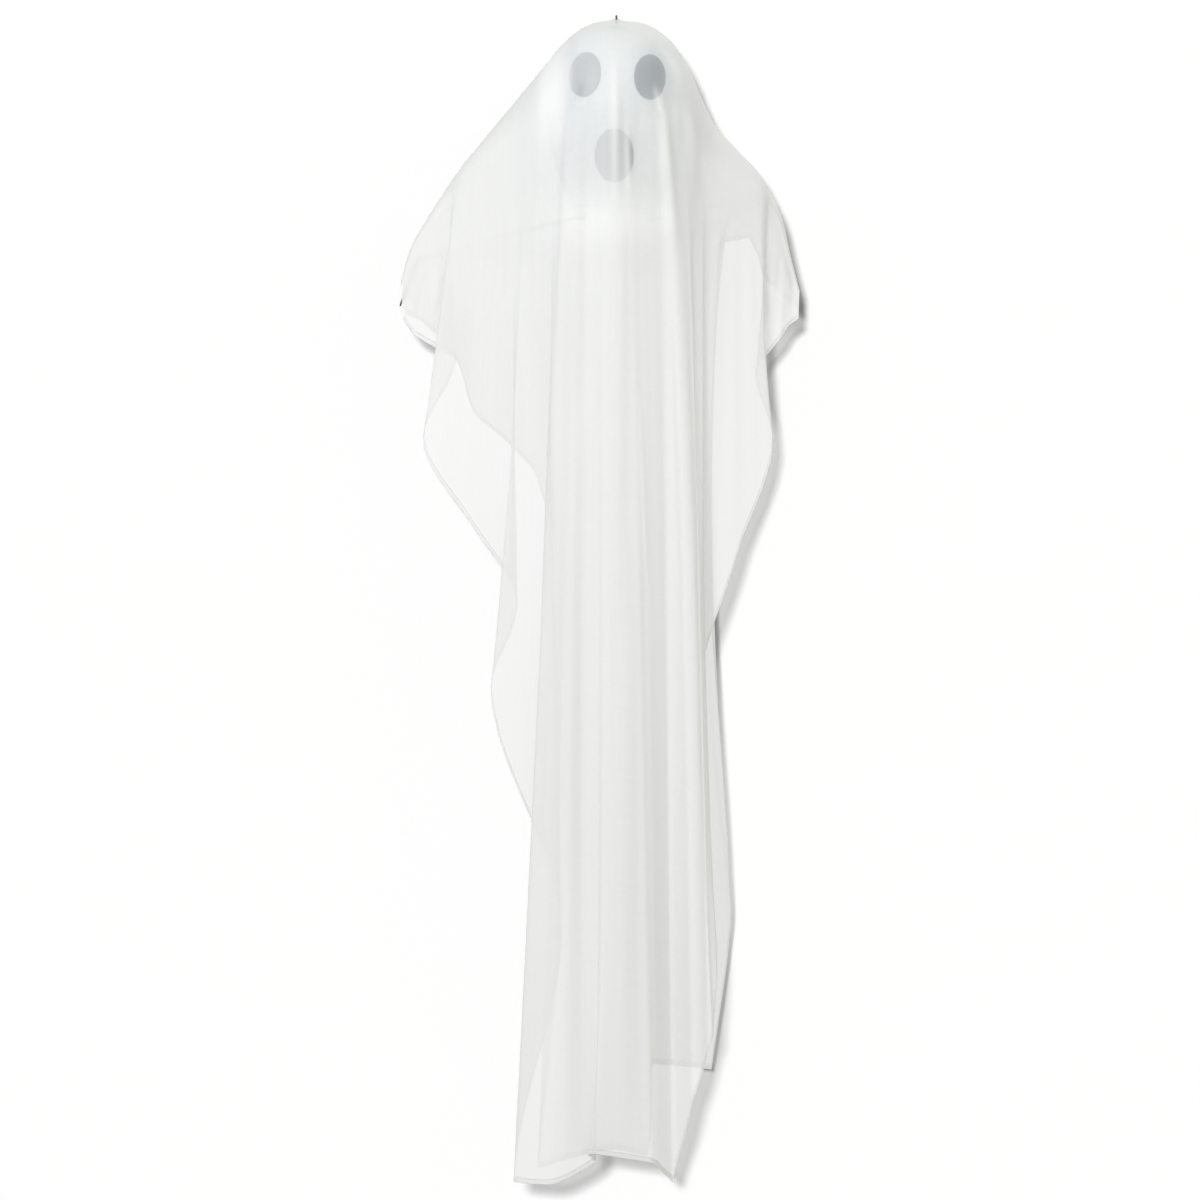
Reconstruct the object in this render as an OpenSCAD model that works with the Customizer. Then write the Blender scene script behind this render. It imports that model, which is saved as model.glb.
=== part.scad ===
// Hanging ghost: one sheer sheet draped over a hollow head, with two bendable wire arms.
// The origin is the centre of the hanging eye's hole. The face looks along -Y and Z is up.

/* [Hanger] */
// Diameter of the rod that runs down through the head
rod_d = 3; // [2.4:0.2:3]
// Diameter of the hole in the hanging eye
eye_hole_d = 3; // [2.6:0.2:3.2]
// Outer diameter of the hanging eye
eye_od = 6; // [5.6:0.2:6.4]

/* [Head] */
// Half of the head's width
head_half_w = 75; // [70:1:76]
// Half of the head's depth, without the nose
head_half_d = 86; // [80:1:87]
// Height of the head's widest level
head_mid_z = -88; // [-92:1:-86]
// Height of the top of the head
head_top_z = -10; // [-12:0.5:-10]
// Height of the neck's rim
neck_z = -199; // [-205:1:-195]
// Radius of the neck's rim
neck_r = 46; // [44:1:50]
// Thickness of the head's moulded wall
head_wall = 1.6; // [1.2:0.2:2.4]
// How far the nose stands out
nose_out = 5; // [3:0.5:6]

/* [Face patches] */
// Width and height of an eye patch
eye_patch = [33, 48]; // [20:1:50]
// Width and height of the mouth patch
mouth_patch_size = [41, 56]; // [20:1:60]
// Thickness of the felt
felt_t = 0.8; // [0.6:0.1:1.2]

/* [Arms] */
// Diameter of the steel wire
wire_d = 2; // [1.6:0.2:2]
// Outer diameter of the wire's plastic jacket
jacket_d = 3.4; // [3:0.2:3.6]
// Distance of each shoulder screw from the middle
shoulder_x = 35; // [32:1:37]
// Inner radius of a bend in the wire
bend_r = 8; // [6:1:12]

/* [Sheet] */
// Thickness of the sheet's solid
sheet_t = 1; // [0.8:0.1:1.2]
// Steps between one fold line and the next, on the middle and on the sides
fold_steps = [4, 2]; // [2:1:4]
// Rows over the crown or an arm, and rows down a fall
sheet_rows = [5, 9]; // [3:1:9]

/* [Hidden] */

$fn = 48;
run_gap = 0.05;

white = [0.93, 0.93, 0.92];
steel = [0.62, 0.62, 0.64];
dark_steel = [0.35, 0.34, 0.33];
felt_black = [0.04, 0.04, 0.05];
voile = [0.95, 0.95, 0.93, 0.6];

eye_t = 2;
crown_washer_t = 0.8;
crown_washer_r = 8;
nut_t = 2.4;
nut_across = 5.5;

plug_flange_r = neck_r + 1.5;
plug_flange_t = 4;
plug_rim_r = neck_r - 4.5;
plug_rim_t = 2.5;
plug_rim_h = 11;
plug_rib_t = 2;
plug_rib_h = 7;
plug_boss_r = 6;
// How deep the rim and ribs are let into the flange
sink = 0.01;
plug_top = neck_z - run_gap;
plug_bottom = plug_top - plug_flange_t;
boss_bottom = plug_bottom - 6;
wire_eye_gap = 0.2;
pivot_z = boss_bottom - wire_eye_gap - wire_d / 2;
screw_d = 3;
screw_head_r = 3.5;
screw_head_t = 2;
screw_len = 12;
washer_t = 0.7;
washer_r = 4.2;
washer_z = pivot_z - wire_d / 2 - wire_eye_gap - washer_t;
slot_len = 4.4;
slot_w = 0.8;
slot_depth = 1;
plug_washer_t = 1;
plug_washer_r = 6;
rod_past_nut = 3;
rod_bottom = boss_bottom - plug_washer_t - nut_t - rod_past_nut;
// How far a cutting shape runs past the face that it opens
cut_over = 1;

// Middle x and z, width and height of each form on the face
nose_form = [0, -100, 9, 24];
cheek_form = [36, -98, 20, 22];
hollow_form = [34, -62, 16, 20];
cheek_out = 2;
hollow_in = 2.5;
left_eye_at = [-33, -61];
right_eye_at = [35, -63.5];
mouth_at = [-2.5, -146];
felt_lift = 0.35;
// How far the left eye leans, in degrees
left_eye_lean = 9;
patch_rings = 4;
patch_spokes = 20;

// The wire leaves its loop level, until it is clear of the boss above it
level_run = 10;
// The straight wire starts this far out from the middle of the loop's own wire
loop_weld = 0.4;
jacket_start = 4;
jacket_gap = 0.1;
wire_sides = 12;
bend_steps = 6;
tie_len = 5;
tie_wall = 0.5;
tie_back = 3;
bare_end = 9;
left_bend = [-211, 0, -250];
left_tip = [-227, 0, -302];
right_bend = [153, 0, -183];
right_tip = [191, 0, -305];

// One row for each fold line, from the left arm's tip to the right arm's: where the line starts on the
// ridge over arms and crown [x, z], then its front fall and its back fall. A fall is the x where it
// leaves the crown or arm, the x and z of its lower end, the power its sideways run follows, and its
// distance from the arms' plane at the top and at the lower end.
FOLDS = [
    [[-230, -294], [-230, -228, -308, 1, 3, 3], [-230, -228, -306, 1, 3, 3]],
    [[-217, -244], [-216, -212, -333, 1, 6, 7], [-216, -205, -318, 1, 6, 7]],
    [[-199, -211], [-197, -194, -344, 1, 10, 12], [-196, -186, -335, 1, 10, 12]],
    [[-180, -181], [-177, -169, -360, 1, 15, 17], [-176, -166, -362, 1, 15, 17]],
    [[-160, -153], [-164, -203, -446, 1, 25, 27], [-158, -150, -414, 1, 25, 25]],
    [[-133, -120], [-135, -150, -535, 1, 38, 35], [-133, -117, -443, 1, 38, 34]],
    [[-110, -92], [-109, -104, -612, 1, 48, 42], [-110, -86, -475, 1, 48, 44]],
    [[-90, -68], [-92, -131, -716, 1.6, 58, 52], [-90, -62, -570, 1, 57, 54]],
    [[-72, -46], [-74, -58, -950, 1, 67, 63], [-72, -68, -700, 1, 66, 62]],
    [[-54, -25], [-56, -107, -1218, 1.1, 75, 76], [-54, -60, -900, 1, 75, 74]],
    [[-38, -12], [-41, -72, -1222, 1, 88, 95], [-38, -82, -1176, 1, 86, 98]],
    [[-22, -4.8], [-23, -24, -1200, 1, 93, 88], [-22, -42, -1180, 1, 94, 86]],
    [[-6, -2.6], [-9, -31, -1190, 1.6, 97, 97], [-6, -14, -1174, 1, 98, 100]],
    [[10, -3.2], [11, 27, -1198, 1, 98, 95], [10, 18, -1136, 1, 98, 88]],
    [[24, -4.8], [26, 40, -1203, 1, 94, 68], [24, 40, -1100, 1, 96, 100]],
    [[36, -8.6], [36, 56, -1221, 1, 91, 67], [36, 62, -1102, 1, 91, 94]],
    [[48, -16.5], [48, 80, -1136, 0.6, 86, 81], [49, 82, -1104, 1, 85, 88]],
    [[62, -30], [66, 98, -1076, 0.6, 77, 79], [64, 100, -1106, 1, 76, 78]],
    [[78, -57], [80, 93, -1070, 3, 68, 70], [78, 66, -900, 1, 66, 64]],
    [[92, -90], [89, 120, -925, 3, 58, 56], [91, 96, -700, 1, 57, 56]],
    [[106, -116], [101, 86, -705, 1, 51, 47], [104, 92, -470, 1, 48, 46]],
    [[128, -140], [126, 130, -551, 1, 38, 38], [127, 110, -275, 1, 37, 36]],
    [[147, -160], [152, 164, -448, 3, 25, 29], [146, 137, -240, 1, 25, 26]],
    [[160, -181], [161, 146, -372, 1, 15, 19], [159, 156, -262, 1, 15, 17]],
    [[174, -211], [172, 166, -344, 1, 10, 13], [173, 171, -290, 1, 10, 11]],
    [[183, -250], [182, 180, -325, 1, 6, 8], [182, 182, -298, 1, 6, 7]],
    [[196, -301], [196, 195, -312, 1, 3, 3], [196, 195, -310, 1, 3, 3]]
];
left_seam = 9;
right_seam = 17;
seam_gap = 0.018;
tip_trim = 0.35;
ridge_gap = 0.4;
crown_hole = 2.2;
crown_hole_spread = 6;
cap_share = 0.3;
// Folds reach most of their depth soon below the crown
fold_onset = 0.45;
// Small step over which the sheet's slope is taken
slope_reach = 0.02;

function spline(a, b, c, d, t) =
    b + 0.5 * t * (c - a + t * (2 * a - 5 * b + 4 * c - d + t * (3 * b - a - 3 * c + d)));

function unit(v) = v / norm(v);

// Bump of height 1 in the middle of a form of the face, falling off to its sides
function bump(x, z, form) = exp(-pow((x - form[0]) / form[2], 2) - pow((z - form[1]) / form[3], 2));

// A point on fold line k. Side is -1 in front and 1 behind, and v runs from the ridge, at 0, to the
// lower end, at 1.
function fold_point(k, side, v) =
    let (ridge = FOLDS[k][0],
         fall = FOLDS[k][side < 0 ? 1 : 2],
         cap = min(1, v / cap_share),
         drop = max(0, (v - cap_share) / (1 - cap_share)),
         cap_z = ridge[1] - fall[4])
    drop > 0
        ? [fall[0] + (fall[1] - fall[0]) * pow(drop, fall[3]),
           side * (fall[4] + (fall[5] - fall[4]) * pow(drop, fold_onset)),
           cap_z + (fall[2] - cap_z) * drop]
        : [ridge[0] + (fall[0] - ridge[0]) * cap,
           side * (ridge_gap + (fall[4] - ridge_gap) * sin(90 * cap)),
           ridge[1] - fall[4] * (1 - cos(90 * cap))];

// A point of the sheet: s counts fold lines from the left tip
function sheet_point(s, side, v) =
    let (last = len(FOLDS) - 1,
         k = min(last - 1, floor(s)),
         f = s - k,
         a = fold_point(max(0, k - 1), side, v),
         b = fold_point(k, side, v),
         c = fold_point(k + 1, side, v),
         d = fold_point(min(last, k + 2), side, v),
         smooth = spline(a, b, c, d, f),
         hole = crown_hole * exp(-pow(smooth[0] / crown_hole_spread, 2)) * max(0, 1 - v / cap_share),
         straight_z = b[2] + (c[2] - b[2]) * f)
    [smooth[0],
     smooth[1] + side * hole,
     smooth[2] + (straight_z - smooth[2]) * max(0, v - cap_share) / (1 - cap_share)];

// Outward direction of the sheet at a point
function sheet_normal(s, side, v) =
    let (across = sheet_point(s + slope_reach, side, v) - sheet_point(s - slope_reach, side, v),
         high = sheet_point(s, side, max(0, v - slope_reach)),
         low = sheet_point(s, side, min(1, v + slope_reach)))
    side * unit(cross(across, low - high));

// Half the head's width and depth at a height
function head_low(z) = min(1, (head_mid_z - z) / (head_mid_z - neck_z));
function head_girth(half, z) =
    z > head_mid_z
        ? half * sqrt(max(0, 1 - pow((z - head_mid_z) / (head_top_z - head_mid_z), 2)))
        : half - (half - neck_r) * pow(head_low(z), 2);

// Nose, cheeks and shallow eye hollows of a plain moulded face
function relief(x, z) =
    nose_out * bump(x, z, nose_form)
    + cheek_out * bump(abs(x), z, cheek_form)
    - hollow_in * bump(abs(x), z, hollow_form);

function face_y(x, z) =
    let (across = x / head_girth(head_half_w, z))
    -head_girth(head_half_d, z) * sqrt(max(0, 1 - across * across)) - relief(x, z);

// Closed shell between an outer and an inner grid of points
module shell(outer, inner) {
    n = len(outer);
    m = len(outer[0]);
    points = [for (g = [outer, inner]) for (column = g) each column];
    shift = n * m;
    out_faces = [for (i = [0 : n - 2]) for (j = [0 : m - 2])
        each [[i * m + j, (i + 1) * m + j + 1, (i + 1) * m + j],
              [i * m + j, i * m + j + 1, (i + 1) * m + j + 1]]];
    in_faces = [for (face = out_faces) [shift + face[0], shift + face[2], shift + face[1]]];
    rim = concat([for (i = [0 : n - 1]) i * m],
                 [for (j = [1 : m - 1]) (n - 1) * m + j],
                 [for (i = [n - 2 : -1 : 0]) i * m + m - 1],
                 [for (j = [m - 2 : -1 : 1]) j]);
    rim_faces = [for (q = [0 : len(rim) - 1])
        let (a = rim[q], b = rim[(q + 1) % len(rim)])
        each [[a, b, shift + b], [a, shift + b, shift + a]]];
    polyhedron(points = points, faces = concat(out_faces, in_faces, rim_faces));
}

// Fold-line counts from one value to another, with a number of steps between whole lines
function counts(from, to, steps) =
    concat([from], [for (s = [ceil(from * steps + 0.3) : floor(to * steps - 0.3)]) s / steps], [to]);

// Row values from the ridge down to the lower end, and back up
rows_down = concat([for (j = [0 : sheet_rows[0]]) cap_share * j / sheet_rows[0]],
                   [for (j = [1 : sheet_rows[1]]) cap_share + (1 - cap_share) * j / sheet_rows[1]]);
rows_up = [for (j = [len(rows_down) - 1 : -1 : 0]) rows_down[j]];

// A sheet from one fold-line count to another. Each place down it is its side and its row value.
module cloth(from, to, steps, places) {
    columns = counts(from, to, steps);
    outer = [for (s = columns) [for (p = places) sheet_point(s, p[0], p[1])]];
    inner = [for (s = columns)
        [for (p = places) sheet_point(s, p[0], p[1]) - sheet_t * sheet_normal(s, p[0], p[1])]];
    shell(outer, inner);
}

front_places = [for (v = rows_up) [-1, v]];
back_places = [for (v = rows_down) [1, v]];
side_places = concat(front_places, back_places);

// Heights and angles of the head's grid
crown_angle = 86.8;
parting_angle = 89.7;
spans_round = 22;
spans_below = 8;
spans_above = 9;
crown_h = head_top_z - head_mid_z;
head_rows = concat(
    [for (j = [0 : spans_below - 1]) neck_z + (head_mid_z - neck_z) * j / spans_below],
    [for (j = [0 : spans_above]) head_mid_z + crown_h * sin(crown_angle * j / spans_above)]);
head_columns = [for (i = [0 : spans_round]) parting_angle * (2 * i / spans_round - 1)];

function head_point(angle, z, front) =
    let (x = head_girth(head_half_w, z) * sin(angle),
         y = head_girth(head_half_d, z) * cos(angle))
    front ? [x, -y - relief(x, z), z] : [-x, y, z];

// Outward direction of a grid of points at column i and row j
function grid_normal(g, i, j) =
    let (n = len(g) - 1, m = len(g[0]) - 1)
    unit(cross(g[min(n, i + 1)][j] - g[max(0, i - 1)][j], g[i][min(m, j + 1)] - g[i][max(0, j - 1)]));

module head_half(front) {
    outer = [for (angle = head_columns) [for (z = head_rows) head_point(angle, z, front)]];
    inner = [for (i = [0 : len(head_columns) - 1])
        [for (j = [0 : len(head_rows) - 1]) outer[i][j] - head_wall * grid_normal(outer, i, j)]];
    shell(outer, inner);
}

// Felt oval laid on the face, as rings round its middle
module face_patch(centre, size, lean = 0) {
    turn = 360 / patch_spokes;
    layer = 1 + patch_rings * patch_spokes;
    spokes = [for (a = [0 : patch_spokes - 1]) a];
    function spot(r, a, out) =
        let (across = size[0] / 2 * r * cos(a),
             up = size[1] / 2 * r * sin(a),
             x = centre[0] + across * cos(lean) + up * sin(lean),
             z = centre[1] - across * sin(lean) + up * cos(lean))
        [x, face_y(x, z) - out, z];
    function at(r, a) = 1 + (r - 1) * patch_spokes + (a % patch_spokes);
    points = [for (out = [felt_lift + felt_t, felt_lift])
        each concat([spot(0, 0, out)],
                    [for (r = [1 : patch_rings]) for (a = spokes) spot(r / patch_rings, turn * a, out)])];
    front = concat(
        [for (a = spokes) [0, at(1, a + 1), at(1, a)]],
        [for (r = [1 : patch_rings - 1]) for (a = spokes)
            each [[at(r, a), at(r, a + 1), at(r + 1, a + 1)],
                  [at(r, a), at(r + 1, a + 1), at(r + 1, a)]]]);
    back = [for (f = front) [layer + f[0], layer + f[2], layer + f[1]]];
    edge = [for (a = spokes)
        let (p = at(patch_rings, a), q = at(patch_rings, a + 1))
        each [[p, q, layer + q], [p, layer + q, layer + p]]];
    polyhedron(points = points, faces = concat(front, back, edge));
}

// Centre line of an arm: straight, one bend of bend_r, straight
function bent_path(a, b, c) =
    let (first = unit(b - a),
         second = unit(c - b),
         turn = acos(first * second),
         inward = unit(second - first * (first * second)),
         middle = b - bend_r * tan(turn / 2) * first + bend_r * inward)
    concat([a],
           [for (q = [0 : bend_steps])
               let (angle = turn * q / bend_steps)
               middle + bend_r * (sin(angle) * first - cos(angle) * inward)],
           [c]);

// Round tube swept along points in the arms' plane, solid where bore is 0
module swept(path, r, bore = 0) {
    last = len(path) - 1;
    function way(q) = unit(path[min(last, q + 1)] - path[max(0, q - 1)]);
    function ring(q, size) =
        [for (a = [0 : wire_sides - 1])
            path[q] + size * (cos(360 * a / wire_sides) * [0, 1, 0]
                + sin(360 * a / wire_sides) * cross(way(q), [0, 1, 0]))];
    function wall(shift) =
        [for (q = [0 : last - 1]) for (a = [0 : wire_sides - 1])
            let (b = (a + 1) % wire_sides, low = shift + q * wire_sides, high = low + wire_sides)
            each [[low + a, high + b, low + b], [low + a, high + a, high + b]]];
    function turned(faces) = [for (f = faces) [f[0], f[2], f[1]]];
    outer = [for (q = [0 : last]) each ring(q, r)];
    inner = bore > 0 ? [for (q = [0 : last]) each ring(q, bore)] : [];
    shift = len(outer);
    end_low = [for (a = [0 : wire_sides - 1]) a];
    end_high = [for (a = [wire_sides - 1 : -1 : 0]) last * wire_sides + a];
    function rim(low) =
        [for (a = [0 : wire_sides - 1])
            let (b = (a + 1) % wire_sides)
            each [[low + a, low + b, shift + low + b], [low + a, shift + low + b, shift + low + a]]];
    ends = bore > 0
        ? concat(turned(wall(shift)), rim(0), turned(rim(last * wire_sides)))
        : [end_low, end_high];
    polyhedron(points = concat(outer, inner), faces = concat(wall(0), ends));
}

function arm_dir(bend, tip) = unit(tip - bend);
function arm_start(side) = [side * (shoulder_x + level_run), 0, pivot_z];

module arm_wire(side, bend, tip) {
    loop_r = screw_d / 2 + run_gap + wire_d / 2;
    loop_end = [side * (shoulder_x + loop_r + loop_weld), 0, pivot_z];
    translate([side * shoulder_x, 0, pivot_z])
        rotate_extrude()
            translate([loop_r, 0])
                circle(wire_d / 2);
    swept(concat([loop_end], bent_path(arm_start(side), bend, tip)), wire_d / 2);
}

module arm_jacket(side, bend, tip) {
    start = arm_start(side) + jacket_start * unit(bend - arm_start(side));
    end = tip - bare_end * arm_dir(bend, tip);
    swept(bent_path(start, bend, end), jacket_d / 2, wire_d / 2 + jacket_gap);
}

module wrist_tie(bend, tip) {
    bore = jacket_d / 2 + jacket_gap;
    last = tip - (bare_end + tie_back) * arm_dir(bend, tip);
    swept([last - tie_len * arm_dir(bend, tip), last], bore + tie_wall, bore);
}

module washer(r, bore, t) {
    difference() {
        cylinder(r = r, h = t);
        translate([0, 0, -cut_over])
            cylinder(r = bore, h = t + 2 * cut_over);
    }
}

module hex_nut(bore) {
    difference() {
        cylinder(d = nut_across / cos(30), h = nut_t, $fn = 6);
        translate([0, 0, -cut_over])
            cylinder(r = bore, h = nut_t + 2 * cut_over);
    }
}

module hanging_rod() color(dark_steel) {
    difference() {
        union() {
            rotate([0, 90, 0])
                cylinder(d = eye_od, h = eye_t, center = true);
            translate([0, 0, rod_bottom])
                cylinder(d = rod_d, h = -rod_bottom - (eye_od + eye_hole_d) / 4);
        }
        rotate([0, 90, 0])
            cylinder(d = eye_hole_d, h = eye_t + 4 * cut_over, center = true);
    }
}

module crown_washer() color(steel)
    translate([0, 0, head_top_z + 2 * run_gap])
        washer(crown_washer_r, rod_d / 2 + run_gap, crown_washer_t);

module crown_nut() color(steel)
    translate([0, 0, head_top_z + 3 * run_gap + crown_washer_t])
        hex_nut(rod_d / 2 + run_gap);

module face_shell() color(white)
    head_half(true);

module rear_shell() color(white)
    head_half(false);

module left_eye_patch() color(felt_black)
    face_patch(left_eye_at, eye_patch, left_eye_lean);

module right_eye_patch() color(felt_black)
    face_patch(right_eye_at, eye_patch);

module mouth_patch() color(felt_black)
    face_patch(mouth_at, mouth_patch_size);

module neck_plug() color(white) {
    difference() {
        union() {
            translate([0, 0, plug_bottom])
                cylinder(r = plug_flange_r, h = plug_flange_t);
            translate([0, 0, plug_top - sink])
                washer(plug_rim_r, plug_rim_r - plug_rim_t, plug_rim_h);
            for (a = [30, 90, 150])
                rotate([0, 0, a])
                    translate([-plug_rim_r + plug_rim_t / 2, -plug_rib_t / 2, plug_top - sink])
                        cube([2 * plug_rim_r - plug_rim_t, plug_rib_t, plug_rib_h]);
            for (x = [-shoulder_x, 0, shoulder_x])
                translate([x, 0, boss_bottom])
                    cylinder(r = plug_boss_r, h = plug_top - boss_bottom + plug_rib_h);
        }
        translate([0, 0, boss_bottom - cut_over])
            cylinder(r = rod_d / 2 + run_gap, h = plug_top - boss_bottom + plug_rim_h + 2 * cut_over);
        for (x = [-shoulder_x, shoulder_x])
            translate([x, 0, boss_bottom - cut_over])
                cylinder(r = (screw_d + run_gap) / 2, h = screw_len + 2 * cut_over);
    }
}

module plug_washer() color(steel)
    translate([0, 0, boss_bottom - run_gap - plug_washer_t])
        washer(plug_washer_r, rod_d / 2 + run_gap, plug_washer_t);

module rod_nut() color(steel)
    translate([0, 0, boss_bottom - 2 * run_gap - plug_washer_t - nut_t])
        hex_nut(rod_d / 2 + run_gap);

module shoulder_screws() color(steel)
    for (x = [-shoulder_x, shoulder_x])
        translate([x, 0, washer_z - run_gap - screw_head_t])
            difference() {
                union() {
                    cylinder(r = screw_head_r, h = screw_head_t);
                    cylinder(d = screw_d, h = screw_head_t + boss_bottom - washer_z + screw_len);
                }
                for (a = [0, 90])
                    rotate([0, 0, a])
                        translate([-slot_len / 2, -slot_w / 2, -cut_over])
                            cube([slot_len, slot_w, slot_depth + cut_over]);
            }

module shoulder_washers() color(steel)
    for (x = [-shoulder_x, shoulder_x])
        translate([x, 0, washer_z])
            washer(washer_r, screw_d / 2 + run_gap, washer_t);

module left_arm_wire() color(dark_steel)
    arm_wire(-1, left_bend, left_tip);

module left_arm_jacket() color(white)
    arm_jacket(-1, left_bend, left_tip);

module right_arm_wire() color(dark_steel)
    arm_wire(1, right_bend, right_tip);

module right_arm_jacket() color(white)
    arm_jacket(1, right_bend, right_tip);

module left_wrist_tie() color(white)
    wrist_tie(left_bend, left_tip);

module right_wrist_tie() color(white)
    wrist_tie(right_bend, right_tip);

module shroud_front() color(voile)
    cloth(left_seam + seam_gap, right_seam - seam_gap, fold_steps[0], front_places);

module shroud_back() color(voile)
    cloth(left_seam + seam_gap, right_seam - seam_gap, fold_steps[0], back_places);

// A side of the sheet goes from its front lower edge up over the arm and down behind in one piece
module left_sleeve() color(voile)
    cloth(tip_trim, left_seam - seam_gap, fold_steps[1], side_places);

module right_sleeve() color(voile)
    cloth(right_seam + seam_gap, len(FOLDS) - 1 - tip_trim, fold_steps[1], side_places);

hanging_rod();
crown_nut();
crown_washer();
face_shell();
rear_shell();
left_eye_patch();
right_eye_patch();
mouth_patch();
neck_plug();
plug_washer();
rod_nut();
shoulder_screws();
shoulder_washers();
left_arm_wire();
left_arm_jacket();
right_arm_wire();
right_arm_jacket();
left_wrist_tie();
right_wrist_tie();
shroud_front();
shroud_back();
left_sleeve();
right_sleeve();
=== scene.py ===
import math

import bpy
import numpy as np
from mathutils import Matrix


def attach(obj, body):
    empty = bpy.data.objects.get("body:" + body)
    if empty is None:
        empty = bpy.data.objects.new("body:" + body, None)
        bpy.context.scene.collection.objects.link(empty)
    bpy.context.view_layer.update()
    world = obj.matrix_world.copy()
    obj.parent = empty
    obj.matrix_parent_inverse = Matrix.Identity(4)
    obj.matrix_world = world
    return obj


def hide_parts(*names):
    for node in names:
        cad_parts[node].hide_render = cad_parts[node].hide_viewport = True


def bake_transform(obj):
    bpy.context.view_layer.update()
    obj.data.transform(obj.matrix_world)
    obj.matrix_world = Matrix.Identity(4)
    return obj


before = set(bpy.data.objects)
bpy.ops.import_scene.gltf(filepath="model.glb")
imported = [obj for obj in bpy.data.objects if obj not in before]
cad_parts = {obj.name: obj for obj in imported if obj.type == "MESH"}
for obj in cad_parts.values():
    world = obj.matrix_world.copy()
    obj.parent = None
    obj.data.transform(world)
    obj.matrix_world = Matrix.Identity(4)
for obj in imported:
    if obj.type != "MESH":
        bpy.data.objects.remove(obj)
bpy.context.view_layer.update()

# Camera
# A long lens, level with the middle of the figure and square to its front.
# The frame is as wide as the photographed one, in the plane of the arms.
VIEW_WIDTH = 1.26
VIEW_CENTRE = (-0.0173, -0.611)
CAMERA_DISTANCE = 20.0
SENSOR = 36.0

camera_data = bpy.data.cameras.new("camera")
camera_data.sensor_width = SENSOR
camera_data.lens = SENSOR * CAMERA_DISTANCE / VIEW_WIDTH
camera_data.clip_end = 3 * CAMERA_DISTANCE
camera = bpy.data.objects.new("camera", camera_data)
camera.location = (VIEW_CENTRE[0], -CAMERA_DISTANCE, VIEW_CENTRE[1])
camera.rotation_euler = (math.radians(90), 0, 0)
bpy.context.scene.collection.objects.link(camera)
bpy.context.scene.camera = camera

# Hanging rod
# A 3 mm rod of dark oiled steel with a flattened eye on top, from which the whole figure hangs.
# It runs down through the crown and the head, and a nut holds it at the neck.
BUMP_DEPTH = 0.0004


def new_effect(name, inputs, outputs=()):
    """An empty shader effect: its tree, its inputs by name, and the node that takes its results."""
    tree = bpy.data.node_groups.new(name, "ShaderNodeTree")
    for label, value in inputs.items():
        kind = "NodeSocketFloat" if isinstance(value, float) else "NodeSocketColor"
        socket = tree.interface.new_socket(label, in_out="INPUT", socket_type=kind)
        socket.default_value = value
    tree.interface.new_socket("Base Color", in_out="OUTPUT", socket_type="NodeSocketColor")
    for label in ("Roughness", "Height", *outputs):
        tree.interface.new_socket(label, in_out="OUTPUT", socket_type="NodeSocketFloat")
    return tree, tree.nodes.new("NodeGroupInput").outputs, tree.nodes.new("NodeGroupOutput")


def put_out(tree, result, values):
    """Leads an effect's values to its outputs."""
    for label, socket in values.items():
        tree.links.new(socket, result.inputs[label])


def add_node(tree, kind, links=(), **settings):
    """One node. Links are (input name or number, output socket or value), and settings are its own."""
    node = tree.nodes.new("ShaderNode" + kind)
    for key, value in settings.items():
        setattr(node, key, value)
    for key, source in links:
        if hasattr(source, "is_output"):
            tree.links.new(source, node.inputs[key])
        else:
            node.inputs[key].default_value = source
    return node


def noise(tree, place, scale, detail, output="Fac"):
    """Cloudy noise, as a value or as a colour."""
    links = [("Vector", place), ("Scale", scale), ("Detail", detail)]
    return add_node(tree, "TexNoise", links).outputs[output]


def worked_out(tree, operation, *values, clamp=False):
    """A sum, product or other reckoning on one or two values."""
    return add_node(tree, "Math", enumerate(values), operation=operation, use_clamp=clamp).outputs[0]


def ranged(tree, value, low, high, new_low=0.0, new_high=1.0):
    """A value from low to high as one from new_low to new_high, held between them."""
    sockets = ("Value", "From Min", "From Max", "To Min", "To Max")
    links = zip(sockets, (value, low, high, new_low, new_high))
    return add_node(tree, "MapRange", links).outputs["Result"]


def colour_between(tree, share, first, second):
    """A colour that goes from the first to the second as the share goes from 0 to 1."""
    return add_node(tree, "Mix", [(0, share), (6, first), (7, second)], data_type="RGBA").outputs[2]


def new_material(name, effect, relief, values, **constants):
    """A material whose shader takes what the effect varies, and plain values for the rest."""
    material = bpy.data.materials.new(name)
    material.use_nodes = True
    tree = material.node_tree
    shader = tree.nodes["Principled BSDF"]
    for socket, value in constants.items():
        shader.inputs[socket.replace("_", " ")].default_value = value
    group = add_node(tree, "Group", node_tree=effect, name="effect")
    for socket, value in values.items():
        group.inputs[socket].default_value = value
    for socket in ("Base Color", "Roughness"):
        tree.links.new(group.outputs[socket], shader.inputs[socket])
    bump = add_node(tree, "Bump", [("Strength", relief), ("Distance", BUMP_DEPTH),
                                   ("Height", group.outputs["Height"])])
    tree.links.new(bump.outputs["Normal"], shader.inputs["Normal"])
    return material


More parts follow.
